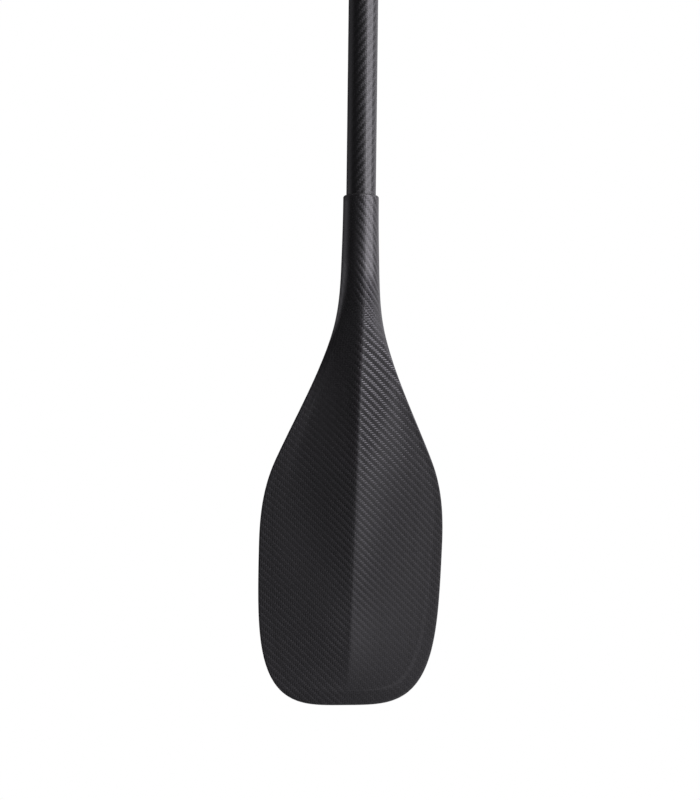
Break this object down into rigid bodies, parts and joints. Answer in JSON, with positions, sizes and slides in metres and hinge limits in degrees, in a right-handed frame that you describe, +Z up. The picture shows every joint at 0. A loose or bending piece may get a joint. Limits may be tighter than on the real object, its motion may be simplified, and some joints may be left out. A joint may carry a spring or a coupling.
{
  "type": "outrigger canoe paddle",
  "caption": "Bent-blade outrigger canoe paddle: ridged carbon blade with a flat edge band, neck socket, round shaft and T grip.",
  "frame": {"origin": "on the shaft's axis, level with the underside of the grip's arms, where a rack's two pegs hold the hanging paddle", "axes": "+Z up along the shaft's axis with the blade down, -Y out of the power face, +X across the blade"},
  "size_m": [0.1926, 0.104, 1.2625],
  "materials": {
    "blade_carbon": "twill carbon cloth under a satin clear coat",
    "shaft_carbon": "twill carbon cloth under a gloss clear coat",
    "grip_carbon": "twill carbon cloth under a satin clear coat",
    "bare_laminate": "bare carbon laminate, sanded",
    "core_foam": "closed-cell foam, matte",
    "plug_foam": "closed-cell foam, matte"
  },
  "bodies": {
    "root": {"blade_front_skin": "blade_carbon", "blade_back_skin": "blade_carbon", "blade_foam_core": "core_foam", "blade_edge_band": "bare_laminate", "shaft_tube": "shaft_carbon", "shaft_lower_plug": "plug_foam", "shaft_upper_plug": "plug_foam", "grip_front_shell": "grip_carbon", "grip_back_shell": "grip_carbon", "grip_foam_core": "core_foam", "grip_spigot": "bare_laminate"}
  },
  "joints": []
}
